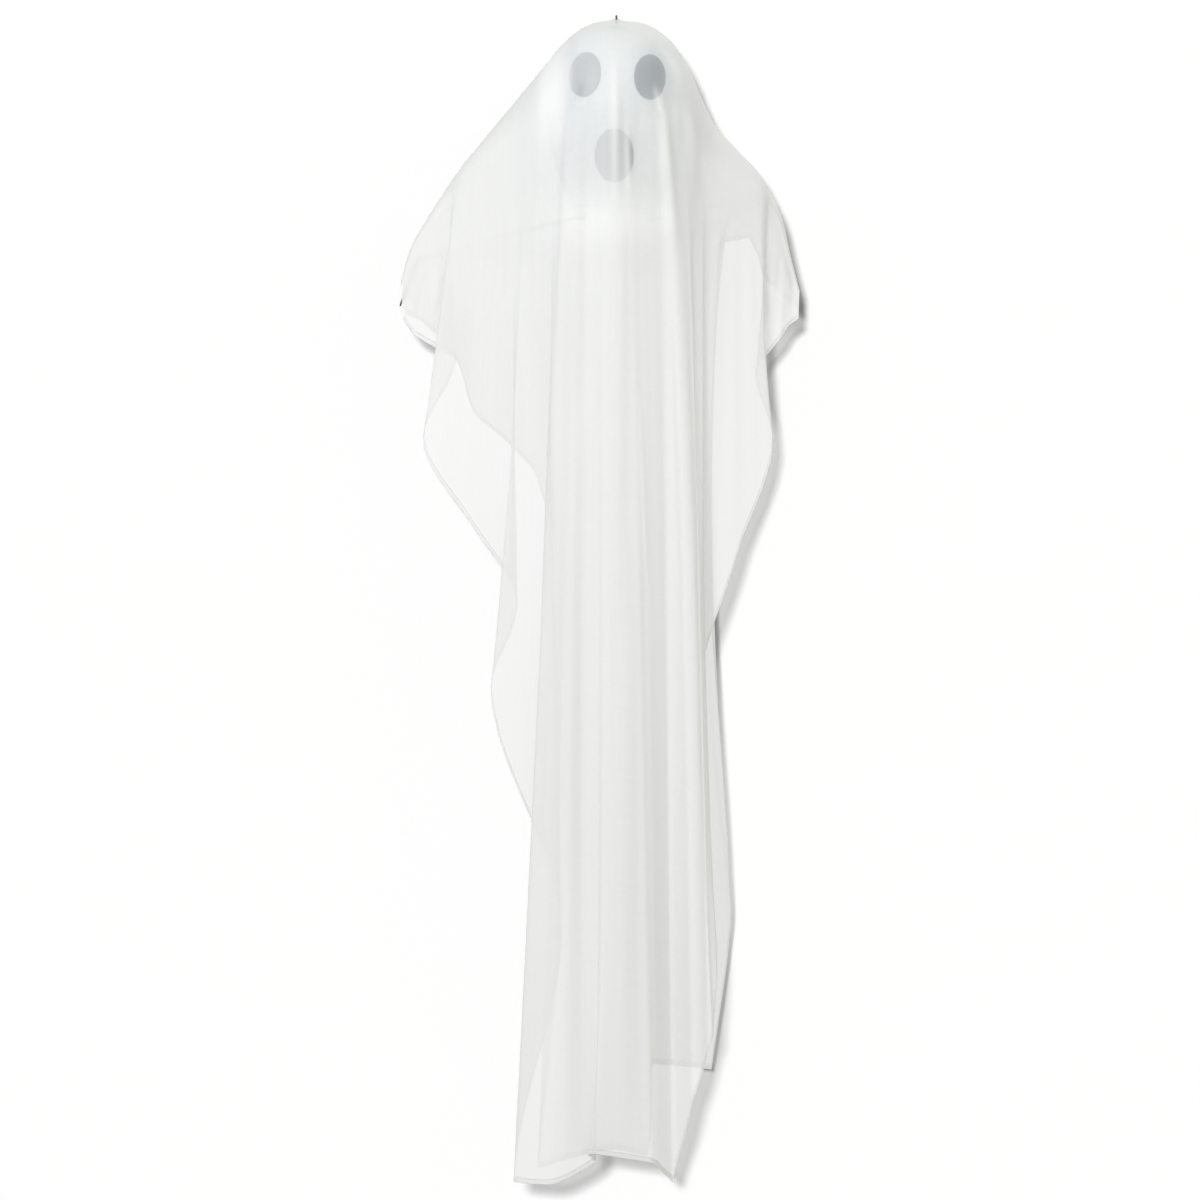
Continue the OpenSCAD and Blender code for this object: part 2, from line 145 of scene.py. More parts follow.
# Drawn and rolled metal: long scratches, cloudy plating and a darker bloom in places
worn_metal, given, result = new_effect(
    "worn_metal", {"Clean": (0.5, 0.5, 0.5, 1), "Stained": (0.2, 0.2, 0.2, 1), "Gloss": 0.3})
place = add_node(worn_metal, "TexCoord").outputs["Object"]
stretch = add_node(worn_metal, "Mapping", [("Vector", place), ("Scale", (1, 1, 0.06))]).outputs[0]
scratches = noise(worn_metal, stretch, 2600.0, 4.0)
bloom = ranged(worn_metal, noise(worn_metal, place, 190.0, 6.0), 0.42, 0.68)
dull = ranged(worn_metal, scratches, 0.3, 0.7, 0.85, 1.35)
put_out(worn_metal, result, {
    "Base Color": colour_between(worn_metal, bloom, given["Clean"], given["Stained"]),
    "Roughness": worked_out(worn_metal, "MULTIPLY", dull, given["Gloss"]),
    "Height": scratches})

dark_steel = new_material(
    "dark_steel", worn_metal, 0.25,
    {"Clean": (0.115, 0.105, 0.095, 1), "Stained": (0.055, 0.042, 0.034, 1), "Gloss": 0.36}, Metallic=1.0)
zinc_steel = new_material(
    "zinc_steel", worn_metal, 0.2,
    {"Clean": (0.60, 0.60, 0.61, 1), "Stained": (0.40, 0.40, 0.42, 1), "Gloss": 0.30}, Metallic=1.0)


def dress(node, material):
    """Gives a CAD node its finish."""
    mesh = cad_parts[node].data
    mesh.materials.clear()
    mesh.materials.append(material)


dress("hanging_rod", dark_steel)

# Nuts, washers and shoulder screws
# Zinc-plated steel hardware: a nut and washer on the crown, a nut and washer under the neck plug,
# and a screw with a washer at each shoulder for the arm to turn on.
for node in ("crown_nut", "crown_washer", "plug_washer", "rod_nut", "shoulder_screws", "shoulder_washers"):
    dress(node, zinc_steel)

# Head shells
# Two halves of white moulded plastic, glued along a parting line over the ears, with a plain nose,
# cheeks and eye hollows. Each wall is 1.6 mm thick.
HEAD_HALF_WIDTH = 0.075
HEAD_HALF_DEPTH = 0.086
HEAD_MIDDLE = -0.088
HEAD_TOP = -0.010
NECK = -0.199
NECK_RADIUS = 0.046
HEAD_WALL = 0.0016
PARTING_ANGLE = math.radians(89.8)
CROWN_ANGLE = math.radians(86.8)
PARTING_GROOVE = 0.0003
PARTING_SPREAD = 0.012
# Each form of the face: its middle (x, z), half width, half height and how far it stands out
NOSE = (0.0, -0.100, 0.009, 0.024, 0.005)
CHEEK = (0.036, -0.098, 0.020, 0.022, 0.002)
HOLLOW = (0.034, -0.062, 0.016, 0.020, -0.0025)
HEAD_COLUMNS = 97
HEAD_ROWS = (34, 40)

# Moulded plastic: faint orange peel, flow clouds and fine rubbing
moulded, given, result = new_effect(
    "moulded_skin", {"Colour": (0.8, 0.8, 0.8, 1), "Shade": (0.7, 0.7, 0.7, 1), "Gloss": 0.4})
place = add_node(moulded, "TexCoord").outputs["Object"]
flow = ranged(moulded, noise(moulded, place, 45.0, 5.0), 0.4, 0.7)
rub = ranged(moulded, noise(moulded, place, 420.0, 8.0), 0.3, 0.7, 0.85, 1.2)
put_out(moulded, result, {
    "Base Color": colour_between(moulded, flow, given["Colour"], given["Shade"]),
    "Roughness": worked_out(moulded, "MULTIPLY", rub, given["Gloss"]),
    "Height": noise(moulded, place, 1400.0, 2.0)})

white_plastic = new_material(
    "white_plastic", moulded, 0.12,
    {"Colour": (0.66, 0.72, 0.75, 1), "Shade": (0.63, 0.69, 0.72, 1), "Gloss": 0.42},
    Specular_IOR_Level=0.4)


def girth(half, z):
    """Half the head's width or depth at a height."""
    above = np.sqrt(np.maximum(0, 1 - ((z - HEAD_MIDDLE) / (HEAD_TOP - HEAD_MIDDLE)) ** 2))
    below = np.minimum(1, (HEAD_MIDDLE - z) / (HEAD_MIDDLE - NECK)) ** 2
    return np.where(z > HEAD_MIDDLE, half * above, half - (half - NECK_RADIUS) * below)


def face_relief(x, z):
    """How far the face's forms stand out from the plain egg."""
    total = 0
    for across, form in ((x, NOSE), (np.abs(x), CHEEK), (np.abs(x), HOLLOW)):
        x_middle, z_middle, wide, tall, height = form
        total = total + height * np.exp(-((across - x_middle) / wide) ** 2 - ((z - z_middle) / tall) ** 2)
    return total


def face_y(x, z):
    """Where the front of the head is, at a place seen from the front."""
    across = x / np.maximum(1e-6, girth(HEAD_HALF_WIDTH, z))
    return -girth(HEAD_HALF_DEPTH, z) * np.sqrt(np.maximum(0, 1 - across ** 2)) - face_relief(x, z)


def grid_normals(grid):
    """Unit normals of a grid of points, towards whoever sees its columns run right and its rows run up."""
    normals = np.cross(np.gradient(grid, axis=0), np.gradient(grid, axis=1))
    return normals / np.maximum(1e-12, np.linalg.norm(normals, axis=2, keepdims=True))


def grid_faces(columns, rows):
    """Four-sided faces of a grid whose points run row by row in each column, facing as its normals."""
    i, j = np.meshgrid(np.arange(columns - 1), np.arange(rows - 1), indexing="ij")
    corner = (i * rows + j).ravel()
    return np.stack([corner + rows, corner + rows + 1, corner + 1, corner], 1)


def shell_mesh(outer, inner):
    """Points and faces of a closed wall between two grids."""
    columns, rows = outer.shape[:2]
    count = columns * rows
    skin = grid_faces(columns, rows)
    edge = np.concatenate([np.arange(columns) * rows, (columns - 1) * rows + np.arange(1, rows),
                           np.arange(columns - 2, -1, -1) * rows + rows - 1, np.arange(rows - 2, 0, -1)])
    after = np.roll(edge, -1)
    rim = np.stack([edge + count, after + count, after, edge], 1)
    points = np.concatenate([outer.reshape(-1, 3), inner.reshape(-1, 3)])
    return points, np.concatenate([skin, skin[:, ::-1] + count, rim])


def new_piece(name, points, faces, material, slot):
    """A smooth mesh piece with its finish. The slot, a name for its material slot, is not used."""
    mesh = bpy.data.meshes.new(name)
    mesh.from_pydata([tuple(p) for p in points], [], [tuple(int(q) for q in f) for f in faces])
    mesh.materials.append(material)
    mesh.polygons.foreach_set("use_smooth", [True] * len(mesh.polygons))
    mesh.update()
    piece = bpy.data.objects.new(name, mesh)
    bpy.context.scene.collection.objects.link(piece)
    return piece


angles = np.linspace(-PARTING_ANGLE, PARTING_ANGLE, HEAD_COLUMNS)
heights = np.concatenate([
    np.linspace(NECK, HEAD_MIDDLE, HEAD_ROWS[0], endpoint=False),
    HEAD_MIDDLE + (HEAD_TOP - HEAD_MIDDLE) * np.sin(np.linspace(0, CROWN_ANGLE, HEAD_ROWS[1]))])
turn, height = np.meshgrid(angles, heights, indexing="ij")
groove = PARTING_GROOVE * np.exp(-((PARTING_ANGLE - np.abs(turn)) / PARTING_SPREAD) ** 2)
head_x = (girth(HEAD_HALF_WIDTH, height) - groove) * np.sin(turn)
head_y = (girth(HEAD_HALF_DEPTH, height) - groove) * np.cos(turn)
for name, node, sign in (("moulded_face", "face_shell", -1), ("moulded_rear", "rear_shell", 1)):
    forms = face_relief(head_x, height) if sign < 0 else 0
    outer = np.stack([-sign * head_x, sign * (head_y + forms), height], 2)
    inner = outer - HEAD_WALL * grid_normals(outer)
    shell = new_piece(name, *shell_mesh(outer, inner), white_plastic, "white_plastic")
    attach(shell, "root")
    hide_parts(node)

# Neck plug
# A ribbed disc, moulded from the same white plastic as the head. It closes the neck,
# the rod's nut holds it there, and it carries the arms' two screws.
dress("neck_plug", white_plastic)

# Face patches
# Three ovals of black felt, two eyes and an open mouth, die-cut from a sheet 0.8 mm thick.
# They are glued to the face and follow its curve.
FELT = 0.0008
FELT_LIFT = 0.00035
FELT_LUMP = 0.00006
# How ragged the cut edge is, and how fast that fades inwards
FELT_RAGGED = 0.006
FELT_RAGGED_POWER = 6
# The share of the way out at which the felt starts to thin, and the thinning's reach
FELT_BEVEL = (0.96, 0.045)
# Each patch: its node, its middle (x, z), its width and height, and its tilt
PATCHES = {
    "left_eye": ("left_eye_patch", -0.033, -0.061, 0.033, 0.048, math.radians(-9)),
    "right_eye": ("right_eye_patch", 0.035, -0.0635, 0.033, 0.048, 0.0),
    "mouth": ("mouth_patch", -0.0025, -0.146, 0.041, 0.056, 0.0),
}
PATCH_RINGS = 26
PATCH_RING_POWER = 0.8
PATCH_SPOKES = 96

# Matted fibres: short tangled hairs over soft lumps
HAIR_BEND = (0.006, 0.006, 0.006)
fibres, given, result = new_effect(
    "matted_fibres", {"Colour": (0.02, 0.02, 0.02, 1), "Hair": (0.08, 0.08, 0.08, 1), "Scale": 900.0})
place = add_node(fibres, "TexCoord").outputs["Object"]
tangle = noise(fibres, place, 260.0, 3.0, "Color")
bent = add_node(fibres, "VectorMath", [(0, tangle), (1, HAIR_BEND)], operation="MULTIPLY").outputs[0]
path = add_node(fibres, "VectorMath", [(0, place), (1, bent)], operation="ADD").outputs[0]
cells = add_node(
    fibres, "TexVoronoi", [("Vector", path), ("Scale", given["Scale"])], feature="DISTANCE_TO_EDGE")
hair = ranged(fibres, cells.outputs["Distance"], 0.0, 0.12, 1.0, 0.0)
lumps = noise(fibres, path, given["Scale"], 6.0)
put_out(fibres, result, {
    "Base Color": colour_between(fibres, hair, given["Colour"], given["Hair"]),
    "Roughness": ranged(fibres, lumps, 0.0, 1.0, 0.82, 1.0),
    "Height": worked_out(fibres, "ADD", hair, lumps)})

# A bluer black than plain felt, to look as cool through the voile as the photographed patches do
black_felt = new_material(
    "black_felt", fibres, 0.9,
    {"Colour": (0.003, 0.068, 0.145, 1), "Hair": (0.010, 0.095, 0.180, 1), "Scale": 1100.0},
    Sheen_Weight=0.25, Sheen_Roughness=0.5, Specular_IOR_Level=0.15)

chance = np.random.default_rng(7)
ring_share = np.linspace(0, 1, PATCH_RINGS + 1)[1:] ** PATCH_RING_POWER
spoke_angle = np.linspace(0, 2 * np.pi, PATCH_SPOKES, endpoint=False)
share, angle = np.meshgrid(ring_share, spoke_angle, indexing="ij")
thinning = np.maximum(0, (share - FELT_BEVEL[0]) / FELT_BEVEL[1])
for name, (node, x, z, width, tall, tilt) in PATCHES.items():
    ragged = 1 + FELT_RAGGED * chance.standard_normal(PATCH_SPOKES)[None, :] * share ** FELT_RAGGED_POWER
    across = width / 2 * share * ragged * np.cos(angle)
    up = tall / 2 * share * ragged * np.sin(angle)
    patch_x = x + across * math.cos(tilt) - up * math.sin(tilt)
    patch_z = z + across * math.sin(tilt) + up * math.cos(tilt)
    lump = FELT_LUMP * chance.standard_normal(share.shape)
    thick = FELT * np.sqrt(np.maximum(0.0, 1 - thinning ** 2)) + lump
    glued = face_y(patch_x, patch_z) - FELT_LIFT
    front = np.stack([patch_x, glued - thick, patch_z], 2).reshape(-1, 3)
    back = np.stack([patch_x, glued, patch_z], 2).reshape(-1, 3)
    middle_y = face_y(x, z) - FELT_LIFT
    middle = np.array([[x, middle_y - FELT, z], [x, middle_y, z]])
    count = len(front)
    ring, spoke = np.meshgrid(np.arange(PATCH_RINGS - 1), np.arange(PATCH_SPOKES), indexing="ij")
    here = (ring * PATCH_SPOKES + spoke).ravel()
    beside = (ring * PATCH_SPOKES + (spoke + 1) % PATCH_SPOKES).ravel()
    skin = np.stack([here, here + PATCH_SPOKES, beside + PATCH_SPOKES, beside], 1)
    last = (PATCH_RINGS - 1) * PATCH_SPOKES + np.arange(PATCH_SPOKES)
    after = np.roll(last, -1)
    rim = np.stack([last, last + count, after + count, after], 1)
    inmost = np.arange(PATCH_SPOKES)
    fan = [(2 * count, p, q) for p, q in zip(inmost, np.roll(inmost, -1))]
    back_fan = [(2 * count + 1, q + count, p + count) for _, p, q in fan]
    faces = [*skin, *(skin[:, ::-1] + count), *rim, *fan, *back_fan]
    points = np.concatenate([front, back, middle])
    patch = new_piece(name + "_felt", points, faces, black_felt, "black_felt")
    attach(patch, "root")
    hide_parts(node)

# Arms
# Each arm is a 2 mm steel wire with an eye that turns on its shoulder screw. It is bent once by hand,
# wears a white plastic jacket and ends bare, and thread ties the sheet to it near the wrist.
PIVOT = (0.035, -0.21025)
LEVEL_RUN = 0.010
WIRE_RADIUS = 0.001
WIRE_TIP = 0.0002
LOOP_RADIUS = 0.00255
LOOP_STEPS = 40
JACKET_RADIUS = 0.0017
JACKET_BORE = 1.08 * WIRE_RADIUS
JACKET_START = 0.004
BEND_RADIUS = 0.008
BEND_STEPS = 14
BARE_END = 0.009
TIE_BACK = 0.003
TIE_LENGTH = 0.005
TIE_TURNS = 9
TURN_STEPS = 18
THREAD_RADIUS = 0.0003
KNOT_RISE = 0.0006
KNOT_RADIUS = 0.0004
KNOT_ACROSS, KNOT_ALONG = 6, 4
KNOT_STEPS = 14
# Each arm: its side, its bend and its tip, as seen from the front (x, z)
ARMS = {
    "left_arm": (-1, (-0.211, -0.250), (-0.227, -0.302)),
    "right_arm": (1, (0.153, -0.183), (0.191, -0.305)),
}
WIRE_SIDES = 20
THREAD_SIDES = 8

wire_jacket = new_material(
    "wire_jacket", moulded, 0.2,
    {"Colour": (0.88, 0.885, 0.88, 1), "Shade": (0.81, 0.81, 0.79, 1), "Gloss": 0.34},
    Specular_IOR_Level=0.5, Coat_Weight=0.1)
tie_thread = new_material(
    "tie_thread", fibres, 0.6,
    {"Colour": (0.86, 0.86, 0.84, 1), "Hair": (0.93, 0.93, 0.92, 1), "Scale": 2600.0},
    Sheen_Weight=0.2, Specular_IOR_Level=0.2)


def unit(vector):
    """A vector one long, the same way."""
    return vector / np.linalg.norm(vector)


def bent_path(start, bend, end):
    """Straight, one round bend, straight, in the plane of the arms."""
    first, second = unit(bend - start), unit(end - bend)
    angle = math.acos(first @ second)
    inward = unit(second - first * (first @ second))
    middle = bend - BEND_RADIUS * math.tan(angle / 2) * first + BEND_RADIUS * inward
    steps = np.linspace(0, angle, BEND_STEPS)
    arc = [middle + BEND_RADIUS * (math.sin(q) * first - math.cos(q) * inward) for q in steps]
    return np.array([start] + arc + [end])


def tube(path, radius, bore=0.0, sides=WIRE_SIDES, closed=False):
    """Points and faces of a round tube along points. Without a bore its ends are capped."""
    if closed:
        ways = np.roll(path, -1, axis=0) - np.roll(path, 1, axis=0)
    else:
        ways = np.gradient(path, axis=0)
    ways /= np.linalg.norm(ways, axis=1, keepdims=True)
    side = np.cross(ways[0], (0, 0, 1) if abs(ways[0][2]) < 0.9 else (1, 0, 0))
    frames = []
    for way in ways:
        side = unit(side - way * (side @ way))
        frames.append((side, np.cross(way, side)))
    turn = np.linspace(0, 2 * np.pi, sides, endpoint=False)
    points, faces = [], []
    for size in (radius, bore) if bore else (radius,):
        first = len(points)
        for spot, (across, up) in zip(path, frames):
            points += [spot + size * (math.cos(q) * across + math.sin(q) * up) for q in turn]
        rings = len(path) if closed else len(path) - 1
        for ring in range(rings):
            low, high = first + ring * sides, first + (ring + 1) % len(path) * sides
            for q in range(sides):
                face = (low + q, low + (q + 1) % sides, high + (q + 1) % sides, high + q)
                faces.append(face if size == radius else face[::-1])
    count = len(path) * sides
    end = count - sides
    if bore:
        for q in range(sides):
            p = (q + 1) % sides
            faces.append((q, q + count, p + count, p))
            faces.append((end + q, end + p, end + p + count, end + q + count))
    elif not closed:
        faces += [tuple(range(sides))[::-1], tuple(range(end, count))]
    return np.array(points), faces


def joined(*meshes):
    """Several meshes as one."""
    points, faces, first = [], [], 0
    for more_points, more_faces in meshes:
        points.append(more_points)
        faces += [tuple(q + first for q in face) for face in more_faces]
        first += len(more_points)
    return np.concatenate(points), faces


toward = np.array([0, -1, 0])
circle = np.linspace(0, 2 * np.pi, LOOP_STEPS, endpoint=False)
ring = np.stack([np.cos(circle), np.sin(circle), 0 * circle], 1)
winding = np.linspace(0, 2 * np.pi * TIE_TURNS, TIE_TURNS * TURN_STEPS)
for body, (side, bend, tip) in ARMS.items():
    bend, tip = (np.array([x, 0, z]) for x, z in (bend, tip))
    way = unit(tip - bend)
    outboard = np.array([side, 0, 0])
    pivot = np.array([side * PIVOT[0], 0, PIVOT[1]])
    lead = pivot + LEVEL_RUN * outboard
    start, end = pivot + LOOP_RADIUS * outboard, tip + WIRE_TIP * way
    run = np.concatenate([[start], bent_path(lead, bend, tip), [end]])
    eye = tube(pivot + LOOP_RADIUS * ring, WIRE_RADIUS, closed=True)
    wire = new_piece(body + "_wire_bent", *joined(eye, tube(run, WIRE_RADIUS)), dark_steel, "dark_steel")
    covered = bent_path(lead + JACKET_START * unit(bend - lead), bend, tip - BARE_END * way)
    jacket = new_piece(body + "_jacket_sleeved", *tube(covered, JACKET_RADIUS, JACKET_BORE),
                       wire_jacket, "wire_jacket")
    tie_end = tip - (BARE_END + TIE_BACK) * way
    across = np.cross(way, (0, 1, 0))
    tie_radius = JACKET_RADIUS + THREAD_RADIUS
    helix = np.array([tie_end - way * TIE_LENGTH * (1 - q / winding[-1])
                      + tie_radius * (math.cos(q) * toward + math.sin(q) * across) for q in winding])
    knot = np.array([helix[-1] + toward * KNOT_RISE * q
                     + KNOT_RADIUS * (math.cos(KNOT_ACROSS * q) * across + math.sin(KNOT_ALONG * q) * way)
                     for q in np.linspace(0, 1, KNOT_STEPS)])
    threads = [tube(thread, THREAD_RADIUS, sides=THREAD_SIDES) for thread in (helix, knot)]
    tie = new_piece(body + "_tie_wound", *joined(*threads), tie_thread, "tie_thread")
    tie_node = body.replace("arm", "wrist_tie")
    for piece, node in ((wire, body + "_wire"), (jacket, body + "_jacket"), (tie, tie_node)):
        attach(piece, body)
        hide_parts(node)

# Sheet
# One piece of sheer white voile with a narrow stitched hem, hung over the crown and both arms. It lies
# over the head, and below it falls in long folds. Six pieces stand for it, met edge to edge.
MM = 0.001
# Each fold line, from the left wrist to the right: where it starts on the ridge over arms and crown
# (x, z), then its front fall and its back fall. A fall is the x where it leaves the crown or arm, the x
# and z of its lower end, the power of its sideways run, and its depth at the top and at the lower end.
FOLD_LINES = [
    ((-230, -294), (-230, -228, -308, 1, 3, 3), (-230, -228, -306, 1, 3, 3)),
    ((-217, -244), (-216, -212, -333, 1, 6, 7), (-216, -205, -318, 1, 6, 7)),
    ((-199, -211), (-197, -194, -344, 1, 10, 12), (-196, -186, -335, 1, 10, 12)),
    ((-180, -181), (-177, -169, -360, 1, 15, 17), (-176, -166, -362, 1, 15, 17)),
    ((-160, -153), (-164, -203, -446, 1, 25, 27), (-158, -150, -414, 1, 25, 25)),
    ((-133, -120), (-135, -150, -535, 1, 38, 35), (-133, -117, -443, 1, 38, 34)),
    ((-110, -92), (-109, -104, -612, 1, 48, 42), (-110, -86, -475, 1, 48, 44)),
    ((-90, -68), (-92, -131, -716, 1.6, 58, 52), (-90, -62, -570, 1, 57, 54)),
    ((-72, -46), (-74, -58, -950, 1, 67, 63), (-72, -68, -700, 1, 66, 62)),
    ((-54, -25), (-56, -107, -1218, 1.1, 75, 76), (-54, -60, -900, 1, 75, 74)),
    ((-38, -12), (-41, -72, -1222, 1, 88, 95), (-38, -82, -1210, 1, 86, 98)),
    ((-22, -4.8), (-23, -24, -1200, 1, 93, 88), (-22, -42, -1198, 1, 94, 86)),
    ((-6, -2.6), (-9, -27, -1190, 8, 97, 97), (-6, -4, -1191, 1, 98, 100)),
    ((10, -3.2), (11, 27, -1198, 1, 96, 84), (10, 33, -1197, 1, 98, 88)),
    ((24, -4.8), (26, 43, -1203, 1, 92, 73), (24, 38, -1100, 1, 96, 100)),
    ((36, -8.6), (36, 59, -1221, 0.35, 89, 40), (36, 62, -1102, 1, 91, 94)),
    ((48, -16.5), (48, 80, -1136, 0.45, 82, 81), (49, 82, -1104, 1, 85, 88)),
    ((62, -30), (66, 97, -1078, 0.6, 72, 79), (64, 100, -1106, 1, 76, 78)),
    ((78, -57), (80, 102, -1058, 3, 66, 74), (78, 118, -975, 3, 66, 68)),
    ((92, -90), (89, 104, -975, 3, 58, 62), (91, 119, -900, 3, 57, 56)),
    ((106, -116), (101, 86, -705, 1, 51, 43), (104, 99, -600, 1, 48, 44)),
    ((128, -140), (126, 130, -551, 1, 38, 38), (127, 108, -236, 1, 37, 36)),
    ((147, -160), (152, 164, -448, 3, 25, 29), (146, 140, -230, 1, 25, 26)),
    ((160, -181), (161, 146, -372, 1, 15, 19), (159, 155, -272, 1, 15, 17)),
    ((174, -211), (172, 166, -344, 1, 10, 13), (173, 171, -290, 1, 10, 11)),
    ((183, -250), (182, 180, -325, 1, 6, 8), (182, 182, -298, 1, 6, 7)),
    ((196, -301), (196, 195, -312, 1, 3, 3), (196, 195, -310, 1, 3, 3)),
]
LEFT_SEAM, RIGHT_SEAM = 9, 17
# The hem is round between these fold lines, and straight from line to line elsewhere
ROUND_HEM = (9, 13)
TIP_TRIM = 0.35
CAP_SHARE = 0.3
# How far the hole and the peak at the crown move the cloth, their reach, and how fast the hole closes
CROWN_HOLE = (0.0024, 0.0035, 6)
CROWN_PEAK = (0.0020, 0.0060)
STEPS_SIDE, STEPS_MIDDLE = 10, 12
ROWS_CAP, ROWS_FALL = 22, 100

last_line = len(FOLD_LINES) - 1
lines = np.concatenate([
    np.linspace(TIP_TRIM, LEFT_SEAM, LEFT_SEAM * STEPS_SIDE, endpoint=False),
    np.linspace(LEFT_SEAM, RIGHT_SEAM, (RIGHT_SEAM - LEFT_SEAM) * STEPS_MIDDLE, endpoint=False),
    np.linspace(RIGHT_SEAM, last_line - TIP_TRIM, (last_line - RIGHT_SEAM) * STEPS_SIDE + 1)])
rows = np.concatenate([
    np.linspace(0, CAP_SHARE, ROWS_CAP, endpoint=False),
    np.linspace(CAP_SHARE, 1, ROWS_FALL)])
cap = np.minimum(1, rows / CAP_SHARE)
drop = np.maximum(0, (rows - CAP_SHARE) / (1 - CAP_SHARE))


def fold_points(side):
    """The points of every fold line at each row, in front (-1) or behind (1)."""
    points = []
    quarter = np.pi / 2 * cap
    for ridge, front, back in FOLD_LINES:
        x_top, x_low, z_low, power, depth_top, depth_low = front if side < 0 else back
        z_top = ridge[1] - depth_top
        x = np.where(drop > 0, x_top + (x_low - x_top) * drop ** power, ridge[0] + (x_top - ridge[0]) * cap)
        y = np.where(drop > 0, depth_top + (depth_low - depth_top) * drop, depth_top * np.sin(quarter))
        z = np.where(drop > 0, z_top + (z_low - z_top) * drop, ridge[1] - depth_top * (1 - np.cos(quarter)))
        points.append(np.stack([x, side * y, z], 1) * MM)
    return np.array(points)


def sheet_points(side):
    """The sheet's points: a smooth run across the fold lines, with the hole and peak at the crown."""
    points = fold_points(side)
    line = np.minimum(last_line - 1, np.floor(lines).astype(int))
    t = (lines - line)[:, None, None]
    a, b, c, d = (points[np.clip(line + q, 0, last_line)] for q in (-1, 0, 1, 2))
    sheet = b + 0.5 * t * (c - a + t * (2 * a - 5 * b + 4 * c - d + t * (3 * b - a - 3 * c + d)))
    # Lower down, heights run straight between lines, or in a curve that never overshoots them
    before, here, after = (high[..., 2] - low[..., 2] for low, high in ((a, b), (b, c), (c, d)))
    rounded = ((line >= ROUND_HEM[0]) & (line < ROUND_HEM[1]))[:, None]
    slopes = []
    for p, q in ((before, here), (here, after)):
        slope = np.where(p * q > 0, 2 * p * q / np.where(p + q == 0, 1, p + q), 0)
        slopes.append(np.where(rounded, slope, here))
    start, end = slopes
    t = t[..., 0]
    low_z = b[..., 2] + t * (start + t * (3 * here - 2 * start - end + t * (start + end - 2 * here)))
    sheet[..., 2] += (low_z - sheet[..., 2]) * drop[None, :]
    hole = CROWN_HOLE[0] * np.exp(-(sheet[..., 0] / CROWN_HOLE[1]) ** 2)
    sheet[..., 1] += side * hole * (1 - cap) ** CROWN_HOLE[2]
    from_rod = sheet[..., 0] ** 2 + sheet[..., 1] ** 2
    sheet[..., 2] += CROWN_PEAK[0] * np.exp(-from_rod / CROWN_PEAK[1] ** 2) * (rows < CAP_SHARE)
    return sheet


def eased(value, low, high):
    """0 below low, 1 above high, and smooth between."""
    t = np.clip((value - low) / (high - low), 0, 1)
    return t * t * (3 - 2 * t)


RIPPLE_START = (0.3, 0.55)
RIPPLE_SPREAD = 0.026
# Each set of ripples: its height, how many there are to a fold line, how far they wander, how often
# they do down a fold and across folds, and where they start, on both sides and by side
RIPPLES = ((0.0007, 0.71, 0.12, 4.2, 0.9, 0.0, 1.3), (0.0002, 1.63, 0.20, 2.6, 0.5, 2.1, 0.0))


def ripples(side, points):
    """Fine ripples along the folds, from below the face down, that fade where the folds crowd together."""
    spread = np.linalg.norm(np.gradient(points, lines, axis=0), axis=2)
    line, row = lines[:, None], rows[None, :]
    total = 0
    for height, count, wander, down, across, start, side_start in RIPPLES:
        turns = count * line + wander * np.sin(down * row + across * line)
        total = total + height * np.sin(2 * np.pi * turns + start + side_start * side)
    return eased(row, *RIPPLE_START) * np.clip(spread / RIPPLE_SPREAD, 0, 1) * total


# Soft ridges and creases in front, as they are seen from the front: upper end (x, z), lower end (x, z),
# how far they stand out and how wide they are. The first runs down the nose and over the mouth.
CREASES = [
    (-1, -39, 0.5, -200, 2.4, 6), (3, -185, 1, -640, 3.4, 8), (6, -540, 4, -1195, 5.0, 14),
    (47, -80, 60, -240, 4.4, 6.5), (58, -200, 79, -640, 3.0, 8), (-59, -300, -71, -640, 3.0, 7),
    (-80, -120, -86, -420, 2.0, 7), (25, -396, 31, -580, 1.2, 2.5), (-49, -88, -60, -352, 3.4, 6),
    (-102, -244, -105, -527, 2.0, 4), (-28, -39, -30, -91, 1.5, 4), (-31, -92, -34, -420, -4.2, 9),
    (-33, -300, -36, -1190, -5.8, 10), (11, -116, 13, -195, 1.2, 3), (-15, -103, -26, -117, 0.6, 1.8),
    (-20, -102, -30, -113, -0.5, 1.8), (-186, -262, -196, -330, 1.5, 4), (-202, -270, -208, -322, -1.2, 4),
    (150, -195, 153, -335, 1.2, 4), (178, -240, 172, -320, 0.4, 5),
]
CREASE_FADE = 0.6


def near_line(x, z, top, low, width, fade):
    """1 on the middle of a slanting line, going down to 0 at its ends and sides."""
    run = np.clip((top[1] - z) / (top[1] - low[1]), 0, 1)
    return np.sin(np.pi * run) ** fade * np.exp(-((x - top[0] - (low[0] - top[0]) * run) / width) ** 2)


def crease_depth(points):
    """How far the creases lift the sheet at each point."""
    x, z = points[..., 0] / MM, points[..., 2] / MM
    lift = 0
    for x_top, z_top, x_low, z_low, height, width in CREASES:
        lift = lift + height * near_line(x, z, (x_top, z_top), (x_low, z_low), width, CREASE_FADE)
    return lift * MM


# The whole sheet, from the front hem up to the ridge and down to the back hem
front_grid, back_grid = sheet_points(-1), sheet_points(1)
whole = np.concatenate([front_grid[:, :0:-1], back_grid], axis=1)
front_lift = ripples(-1, front_grid) + crease_depth(front_grid)
lift = np.concatenate([front_lift[:, :0:-1], ripples(1, back_grid)], axis=1)
whole = whole + grid_normals(whole) * lift[..., None]
outward = grid_normals(whole)
ridge_row = len(rows) - 1
last_row = 2 * ridge_row
left_column = LEFT_SEAM * STEPS_SIDE
right_column = left_column + (RIGHT_SEAM - LEFT_SEAM) * STEPS_MIDDLE

